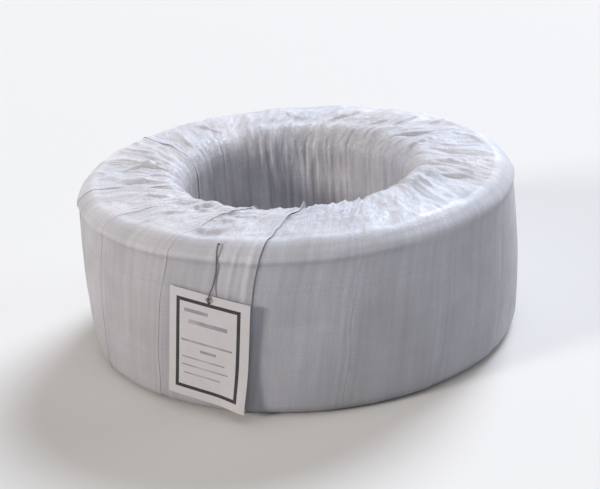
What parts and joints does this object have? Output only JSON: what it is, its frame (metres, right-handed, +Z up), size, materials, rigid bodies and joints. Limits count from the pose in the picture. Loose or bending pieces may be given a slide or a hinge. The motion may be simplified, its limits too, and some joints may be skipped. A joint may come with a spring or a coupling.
{
  "type": "coil of galvanized wire",
  "caption": "Ring-shaped coil of galvanized wire, wrapped in a strip of woven plastic, with a paper tag hung on a twine at its side.",
  "frame": {"origin": "on the floor under the coil, on the axis of its bore", "axes": "+Z up along the bore; -Y the front, which the picture looks at, with the tag to the left of it towards -X"},
  "size_m": [0.4806, 0.4854, 0.1848],
  "materials": {
    "galvanized_wire": "zinc coated, satin",
    "galvanized_tie": "zinc coated, satin",
    "woven_plastic": "woven plastic tape, slightly shiny, off-white",
    "tag_card": "matt card with a printed black frame",
    "twine": "twisted dark twine"
  },
  "bodies": {
    "root": {"wire_coil": "galvanized_wire", "binding_ties": "galvanized_tie", "woven_wrap": "woven_plastic", "tag": "tag_card", "tag_twine": "twine"}
  },
  "joints": []
}
